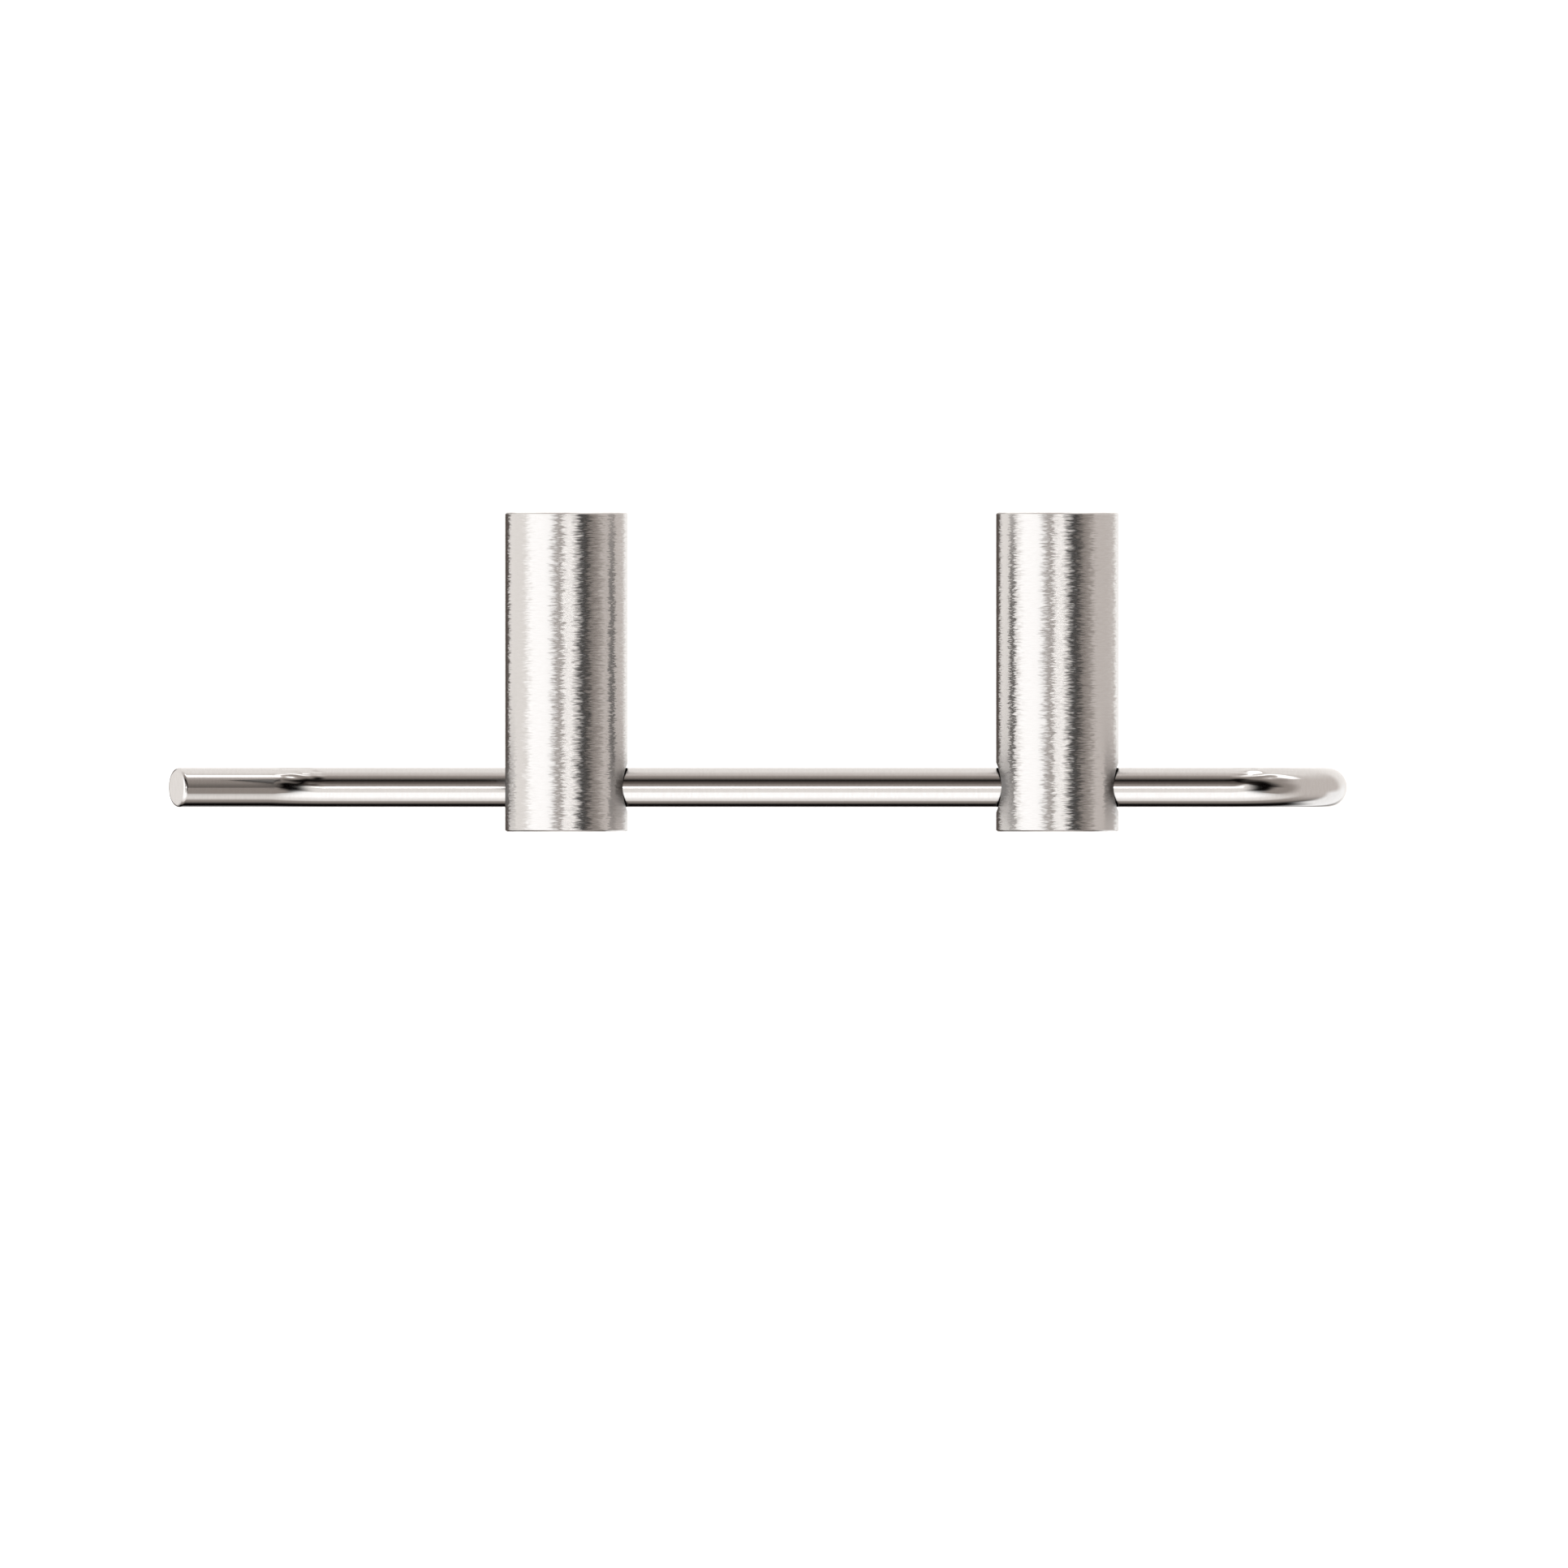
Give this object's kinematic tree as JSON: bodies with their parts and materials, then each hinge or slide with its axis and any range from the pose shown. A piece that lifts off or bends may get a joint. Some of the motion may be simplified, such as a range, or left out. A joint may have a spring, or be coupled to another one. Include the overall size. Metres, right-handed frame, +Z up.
{
  "type": "wall hook rack",
  "caption": "Wall-mounted rack with round posts that hold one bent round rail, which doubles back beneath them to an open, turned-up end.",
  "frame": {"origin": "on the wall face, midway between the two wall screw holes", "axes": "+X to the right along the rail, +Y into the wall, +Z up"},
  "size_m": [0.24, 0.065, 0.0565],
  "materials": {
    "rail_steel": "fine brushed straight runs, polished bends",
    "post_steel": "brushed round the post",
    "cap_steel": "turned face",
    "turned_steel": "turned",
    "screw_steel": "plain machined",
    "black_block": "black anodised"
  },
  "bodies": {
    "root": {"rail": "rail_steel", "left_post_tube": "post_steel", "left_front_cap": "cap_steel", "left_rail_block": "black_block", "left_wall_spigot": "turned_steel", "left_rail_screw": "screw_steel", "left_lock_screw": "screw_steel", "right_post_tube": "post_steel", "right_front_cap": "cap_steel", "right_rail_block": "black_block", "right_wall_spigot": "turned_steel", "right_rail_screw": "screw_steel", "right_lock_screw": "screw_steel"}
  },
  "joints": []
}
